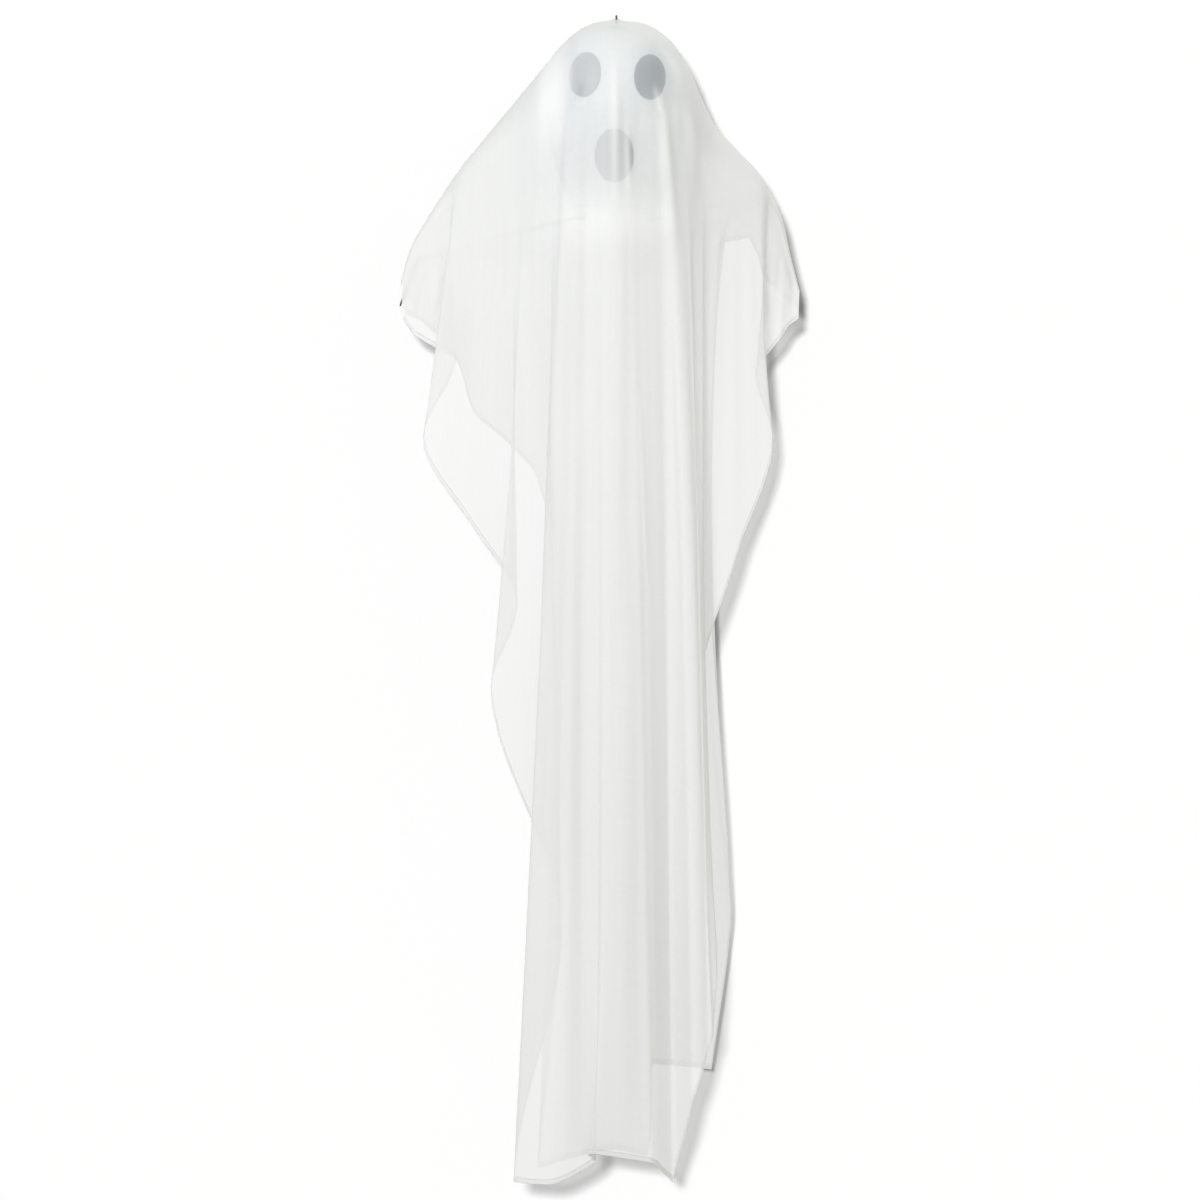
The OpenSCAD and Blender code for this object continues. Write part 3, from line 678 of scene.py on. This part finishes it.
# Flat coordinates of the cut, for the weave to follow
step_across = np.linalg.norm(np.diff(whole, axis=0), axis=2).mean(1)
flat_across = np.concatenate([[0], np.cumsum(step_across)])
step_down = np.linalg.norm(np.diff(whole, axis=1), axis=2)
flat_down = np.concatenate([np.zeros((len(lines), 1)), np.cumsum(step_down, axis=1)], axis=1)
flat_down -= flat_down[:, ridge_row:ridge_row + 1]

# How much of what is behind it the voile hides. Real voile is alike all over: the amounts below that
# change it in places were set so that the face and felt show through as photographed
COVER = 0.62
# More over the hood: how much, and the heights between which it sets in
HOOD_COVER = (0.06, -0.36, -0.27)
# More below the chin: how much, at what height, and its half height and half width
CHIN_COVER = (0.22, -0.212, 0.030, 0.065)
# Less or more in places: less over the eyes and mouth, where the voile lies on the felt, more as painted
# highlights on the head's left side and right cheek, and painted shading at the right wrist. Each: the
# place's middle (x, z), half width, half height and amount
CONTACT_AND_PAINTED_LIGHT = (
    (-0.033, -0.061, 0.024, 0.032, -0.11), (0.035, -0.0635, 0.024, 0.032, -0.27),
    (-0.0025, -0.146, 0.030, 0.038, -0.02), (-0.0665, -0.075, 0.016, 0.060, 0.22),
    (0.0540, -0.130, 0.010, 0.045, 0.14), (0.1780, -0.297, 0.026, 0.020, 0.22))
# More or less along narrow folds over the face: more where a fold stands off the felt, and more or less
# as painted highlights and shade along the folds. Each: upper end (x, z), lower end (x, z), width and
# amount
STAND_OFF_AND_FOLD_LIGHT = (
    (-0.0030, -0.042, -0.0015, -0.200, 0.0040, 0.14), (0.0110, -0.118, 0.0135, -0.190, 0.0028, 0.13),
    (0.0395, -0.072, 0.0470, -0.105, 0.0035, 0.25), (-0.0480, -0.040, -0.0500, -0.088, 0.0040, 0.09),
    (-0.0240, -0.046, -0.0260, -0.088, 0.0050, 0.06), (-0.0375, -0.068, -0.0385, -0.090, 0.0040, -0.10),
    (0.0158, -0.118, 0.0165, -0.170, 0.0036, -0.17), (-0.0130, -0.112, -0.0140, -0.180, 0.0070, 0.035))
STAND_OFF_AND_FOLD_LIGHT_FADE = 0.7
sheet_x, sheet_z = whole[..., 0], whole[..., 2]
in_front = whole[..., 1] < 0
chin = np.exp(-((sheet_z - CHIN_COVER[1]) / CHIN_COVER[2]) ** 2 - (sheet_x / CHIN_COVER[3]) ** 4)
cover = COVER + HOOD_COVER[0] * eased(sheet_z, *HOOD_COVER[1:]) + CHIN_COVER[0] * chin * in_front
# Less cover where the voile lies on the felt, and painted highlights and shading in places
for x, z, wide, tall, amount in CONTACT_AND_PAINTED_LIGHT:
    cover = cover + amount * np.exp(-((sheet_x - x) / wide) ** 4 - ((sheet_z - z) / tall) ** 4) * in_front
# Stand-off along the folds over the face, and painted highlights and shade along them
for x_top, z_top, x_low, z_low, wide, amount in STAND_OFF_AND_FOLD_LIGHT:
    near = near_line(sheet_x, sheet_z, (x_top, z_top), (x_low, z_low), wide, STAND_OFF_AND_FOLD_LIGHT_FADE)
    cover = cover + amount * near * in_front

# Voile: a plain weave of fine threads, with slubs along both thread directions
SLUB_SCALES = ((420, 9, 1), (11, 420, 1))
voile_weave, given, result = new_effect(
    "voile_weave", {"Colour": (0.9, 0.9, 0.9, 1), "Slub": (0.85, 0.85, 0.85, 1), "Threads": 1800.0},
    ["Density"])
flat = add_node(voile_weave, "UVMap", uv_map="flat").outputs["UV"]
parts = add_node(voile_weave, "SeparateXYZ", [("Vector", flat)]).outputs
waves = []
for axis in ("X", "Y"):
    threads = worked_out(voile_weave, "MULTIPLY", parts[axis], given["Threads"])
    turns = worked_out(voile_weave, "MULTIPLY", threads, 2 * math.pi)
    waves.append(worked_out(voile_weave, "SINE", turns))
weave = worked_out(voile_weave, "MAXIMUM", *waves)
slubs = []
for scale in SLUB_SCALES:
    stretch = add_node(voile_weave, "Mapping", [("Vector", flat), ("Scale", scale)]).outputs[0]
    slubs.append(noise(voile_weave, stretch, 1.0, 3.0))
slub = worked_out(voile_weave, "ADD", *slubs)
thick = ranged(voile_weave, slub, 0.75, 1.25)
slub_density = ranged(voile_weave, slub, 0.7, 1.3, 0.988, 1.012)
weave_density = ranged(voile_weave, weave, -1.0, 1.0, 0.98, 1.02)
put_out(voile_weave, result, {
    "Base Color": colour_between(voile_weave, thick, given["Slub"], given["Colour"]),
    "Roughness": ranged(voile_weave, slub, 0.7, 1.3, 0.78, 0.9),
    "Height": worked_out(voile_weave, "ADD", weave, slub),
    "Density": worked_out(voile_weave, "MULTIPLY", slub_density, weave_density)})

# The threads are thin enough to pass on some of the light that falls on them
SHADE_SHARE = 0.68
voile = new_material(
    "voile", voile_weave, 0.1,
    {"Colour": (0.757, 0.757, 0.747, 1), "Slub": (0.752, 0.752, 0.741, 1), "Threads": 1800.0},
    Specular_IOR_Level=0.15, Sheen_Weight=0.15, Sheen_Roughness=0.4)
tree = voile.node_tree
covering = add_node(tree, "Attribute", attribute_name="cover").outputs["Fac"]
hides = worked_out(tree, "MULTIPLY", covering, tree.nodes["effect"].outputs["Density"], clamp=True)
rays = add_node(tree, "LightPath").outputs
shades = ranged(tree, rays["Is Shadow Ray"], 0.0, 1.0, 1.0, SHADE_SHARE)
tree.links.new(worked_out(tree, "MULTIPLY", hides, shades), tree.nodes["Principled BSDF"].inputs["Alpha"])

# The hem is folded under once, 6 mm deep, with a crisp edge
HEM = 0.006
HEM_TUCK = 0.0004
HEM_CRISP = 0.0008
# The turned-under part of the hem: how far up each row of it lies, and its share of the tuck
TUCK = ((HEM, 1), (0.0012, 1), (0.0003, 1), (0, 0))


def cloth_piece(name, columns, hem_to_ridge, way, side):
    """A panel of the sheet from its hem up to the ridge, with its hem turned under."""
    grid, down, hide = (values[columns, hem_to_ridge].copy() for values in (whole, flat_down, cover))
    edge, out = grid[:, 0].copy(), outward[columns, hem_to_ridge][:, 0]
    tucked = np.stack([edge + way * rise - out * HEM_TUCK * under for rise, under in TUCK], 1)
    rises = np.array([rise for rise, under in TUCK])
    grid[:, 0] = edge + way * HEM_CRISP
    grid = np.concatenate([tucked, grid], axis=1)
    down = np.concatenate([down[:, :1] - side * rises, down], axis=1)
    hide = np.concatenate([np.repeat(hide[:, :1], len(TUCK), axis=1), hide], axis=1)
    across = np.broadcast_to(flat_across[columns, None], down.shape)
    faces = grid_faces(*grid.shape[:2])
    piece = new_piece(name, grid.reshape(-1, 3), faces if side < 0 else faces[:, ::-1], voile, "voile")
    mesh = piece.data
    hidden = mesh.attributes.new("cover", "FLOAT", "POINT")
    hidden.data.foreach_set("value", hide.ravel().astype(np.float32))
    corner = np.zeros(len(mesh.loops), np.int32)
    mesh.loops.foreach_get("vertex_index", corner)
    flat_places = np.stack([across, down], 2).reshape(-1, 2)[corner]
    mesh.uv_layers.new(name="flat").data.foreach_set("uv", flat_places.ravel().astype(np.float32))
    return piece


# The hem is sewn with white thread, one short stitch every 3 mm near its upper edge
STITCH_PITCH = 0.003
STITCH_LENGTH = 0.0021
STITCH_HALF_WIDTH = 0.00022
STITCH_HEIGHT = 0.0003
STITCH_LIFT = 0.0001
STITCH_PLACE = 0.85 * HEM
# The places along a stitch, and its size there
STITCH_RINGS = ((0, 0.35), (0.3, 1), (0.7, 1), (1, 0.35))


def stitch_line(edge, way, out):
    """Points and faces of a row of short stitches along a hem's upper edge."""
    line = edge + way * STITCH_PLACE + out * STITCH_LIFT
    length = np.concatenate([[0], np.cumsum(np.linalg.norm(np.diff(line, axis=0), axis=1))])
    points, faces = [], []
    for start in np.arange(STITCH_PITCH, length[-1] - STITCH_PITCH, STITCH_PITCH):
        near, far = (np.array([np.interp(place, length, line[:, axis]) for axis in range(3)])
                     for place in (start, start + STITCH_LENGTH))
        column = min(len(line) - 2, int(np.searchsorted(length, start)))
        along, up = far - near, out[column]
        wide = unit(np.cross(up, along)) * STITCH_HALF_WIDTH
        first = len(points)
        for share, size in STITCH_RINGS:
            spot = near + along * share
            points += [spot - wide * size, spot + up * STITCH_HEIGHT * size, spot + wide * size]
        for ring in range(len(STITCH_RINGS) - 1):
            a = first + 3 * ring
            faces += [(a, a + 3, a + 4, a + 1), (a + 1, a + 4, a + 5, a + 2), (a + 2, a + 5, a + 3, a)]
        last = len(points) - 1
        faces += [(first, first + 1, first + 2), (last, last - 1, last - 2)]
    return np.array(points), faces


# Each panel: its node, its columns, its side, the width and length of its cut, measured once on the
# finished mesh unrolled with the least stretch, and its area, which is the finished mesh's own
LEFT = slice(0, left_column + 1)
MIDDLE = slice(left_column, right_column + 1)
RIGHT = slice(right_column, len(lines))
PANELS = {
    "shroud_front": ("shroud_front", MIDDLE, -1, 0.276, 1.224, 0.242),
    "shroud_back": ("shroud_back", MIDDLE, 1, 0.231, 1.160, 0.203),
    "left_sleeve_front": ("left_sleeve", LEFT, -1, 0.250, 1.208, 0.120),
    "left_sleeve_back": ("left_sleeve", LEFT, 1, 0.197, 0.898, 0.068),
    "right_sleeve_front": ("right_sleeve", RIGHT, -1, 0.164, 1.046, 0.077),
    "right_sleeve_back": ("right_sleeve", RIGHT, 1, 0.182, 1.063, 0.059),
}
# A sleeve should stay with the head at its seam, which slants, and turn with its arm near the wrist: each
# names that arm and a point at each end. Here the sleeves are only fixed in place, and these values are not
# read
BLENDS = {
    "left_sleeve": ("left_arm", (-0.0620, 0, -0.1500), (-0.1619, 0, -0.1454)),
    "right_sleeve": ("right_arm", (0.0740, 0, -0.1500), (0.1699, 0, -0.1468)),
}
for name, (node, columns, side, width, length, area) in PANELS.items():
    hem_to_ridge = slice(0, ridge_row + 1) if side < 0 else slice(last_row, ridge_row - 1, -1)
    edge, above = whole[columns, hem_to_ridge][:, 0], whole[columns, hem_to_ridge][:, 1]
    way = (above - edge) / np.linalg.norm(above - edge, axis=1, keepdims=True)
    cloth = cloth_piece(name + "_voile", columns, hem_to_ridge, way, side)
    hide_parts(node)
    stitching = stitch_line(edge, way, outward[columns, hem_to_ridge][:, 0])
    stitches = new_piece(name + "_stitches", *stitching, tie_thread, "tie_thread")
    for piece in (cloth, stitches):
        if node in BLENDS:
            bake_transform(piece)
        else:
            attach(piece, "root")

# Backdrop and floor
# A plain wall close behind the figure, lit to white, and a pale floor that it curves into just below.
# They keep the figure's shadow. They are clear from behind and to the other lights, to show the back.
WALL_Y = 0.125
WALL_TOP = 3.0
FLOOR_Z = -1.34
COVE = 0.07
COVE_STEPS = 12
STAGE_HALF = 4.0
profile = [(WALL_Y, WALL_TOP)]
for turn in np.linspace(0, np.pi / 2, COVE_STEPS):
    profile.append((WALL_Y - COVE + COVE * math.cos(turn), FLOOR_Z + COVE - COVE * math.sin(turn)))
profile.append((-STAGE_HALF, FLOOR_Z))
stage_points = [(x, y, z) for x in (-STAGE_HALF, STAGE_HALF) for y, z in profile]
count = len(profile)
stage_mesh = bpy.data.meshes.new("backdrop")
stage_mesh.from_pydata(stage_points, [], [(q, q + 1, q + count + 1, q + count) for q in range(count - 1)])
stage_mesh.polygons.foreach_set("use_smooth", [True] * (count - 1))
backdrop = bpy.data.objects.new("backdrop", stage_mesh)
bpy.context.scene.collection.objects.link(backdrop)

# Each paper's grey, and the light that it adds of its own where the camera sees it bare
PAPERS = {"wall_paper": (0.2, 0.0), "floor_paper": (0.5, 0.35)}
SEEN_THROUGH = 0.90
for name, (grey, lift) in PAPERS.items():
    paper = bpy.data.materials.new(name)
    paper.use_nodes = True
    tree = paper.node_tree
    tree.nodes.remove(tree.nodes["Principled BSDF"])
    rays = add_node(tree, "LightPath").outputs
    matt = add_node(tree, "BsdfDiffuse", [("Color", (grey, grey, grey, 1))]).outputs[0]
    level = worked_out(tree, "MULTIPLY", rays["Is Camera Ray"], lift)
    glow = add_node(tree, "Emission", [("Strength", level)]).outputs[0]
    bare = add_node(tree, "AddShader", [(0, matt), (1, glow)]).outputs[0]
    pale = add_node(tree, "Emission", [("Strength", SEEN_THROUGH)]).outputs[0]
    veiled = worked_out(tree, "MULTIPLY", rays["Is Camera Ray"], rays["Transparent Depth"])
    mirrored = worked_out(tree, "ADD", rays["Is Glossy Ray"], rays["Is Transmission Ray"])
    plain = worked_out(tree, "ADD", veiled, mirrored, clamp=True)
    shown = add_node(tree, "MixShader", [(0, plain), (1, bare), (2, pale)]).outputs[0]
    clear = add_node(tree, "BsdfTransparent").outputs[0]
    behind = add_node(tree, "NewGeometry").outputs["Backfacing"]
    light = worked_out(tree, "MAXIMUM", rays["Is Shadow Ray"], rays["Is Diffuse Ray"])
    open_way = worked_out(tree, "MAXIMUM", behind, light)
    sided = add_node(tree, "MixShader", [(0, open_way), (1, shown), (2, clear)]).outputs[0]
    tree.links.new(sided, tree.nodes["Material Output"].inputs["Surface"])
    stage_mesh.materials.append(paper)
stage_mesh.polygons.foreach_set("material_index", [0] + [1] * (count - 2))

# Light
# A soft box on the left, above the chest, shapes the folds, and a weaker one does so behind. A lamp
# near the camera lights the backdrop alone and throws the close shadow. A pale room fills the rest.
CHEST = (0, -0.1, -0.4)
BOX_DISTANCE = 3.2
BOX_SIZE = 1.1
SHADOW_SPREAD = math.radians(4)
COOL_WHITE = (0.955, 0.97, 1.0)
# Each lamp: its kind, its energy, and how far to the left and how far up it is in degrees
LAMPS = {
    "key_light": ("AREA", 65, 22, 21),
    "shadow_light": ("SUN", 13.5, 4, 4.5),
    "back_light": ("AREA", 30, 215, 25),
}
for name, (kind, energy, left, up) in LAMPS.items():
    lamp_data = bpy.data.lights.new(name, kind)
    lamp_data.energy = energy
    if kind == "AREA":
        lamp_data.color = COOL_WHITE
        lamp_data.size = BOX_SIZE
    else:
        lamp_data.angle = SHADOW_SPREAD
    lamp = bpy.data.objects.new(name, lamp_data)
    lamp.visible_camera = False
    left, up = math.radians(left), math.radians(up)
    way = (-math.sin(left) * math.cos(up), -math.cos(left) * math.cos(up), math.sin(up))
    lamp.location = [middle + BOX_DISTANCE * along for middle, along in zip(CHEST, way)]
    lamp.rotation_euler = (math.pi / 2 - up, 0, -left)
    bpy.context.scene.collection.objects.link(lamp)
    lit = bpy.data.collections.new(name + "_on")
    lit.objects.link(backdrop)
    lit.collection_objects[0].light_linking.link_state = "INCLUDE" if name == "shadow_light" else "EXCLUDE"
    lamp.light_linking.receiver_collection = lit

# The room is brighter and warmer on the right, and darker below
ROOM_SIDES = (0.81, 0.90)
ROOM_TINTS = ((0.985, 1, 1, 1), (1, 0.995, 0.935, 1))
ROOM_HEIGHTS = (-1.0, 0.4)
ROOM_CHANGE = (-0.42, 0.02)
world = bpy.data.worlds.new("room")
bpy.context.scene.world = world
world.use_nodes = True
tree = world.node_tree
sky = tree.nodes["Background"]
place = add_node(tree, "TexCoord").outputs["Generated"]
parts = add_node(tree, "SeparateXYZ", [("Vector", place)]).outputs
sideways = ranged(tree, parts["X"], -1.0, 1.0, *ROOM_SIDES)
upward = ranged(tree, parts["Z"], *ROOM_HEIGHTS, *ROOM_CHANGE)
level = worked_out(tree, "ADD", sideways, upward)
rays = add_node(tree, "LightPath").outputs
seen = worked_out(tree, "ADD", rays["Is Camera Ray"], rays["Is Glossy Ray"])
seen = worked_out(tree, "ADD", seen, rays["Is Transmission Ray"], clamp=True)
strength = add_node(tree, "Mix", [(0, seen), (2, level), (3, 1.0)]).outputs[0]
tree.links.new(strength, sky.inputs["Strength"])
rightward = ranged(tree, parts["X"], -1.0, 1.0)
tree.links.new(colour_between(tree, rightward, *ROOM_TINTS), sky.inputs["Color"])

view = bpy.context.scene.view_settings
view.view_transform = "Standard"
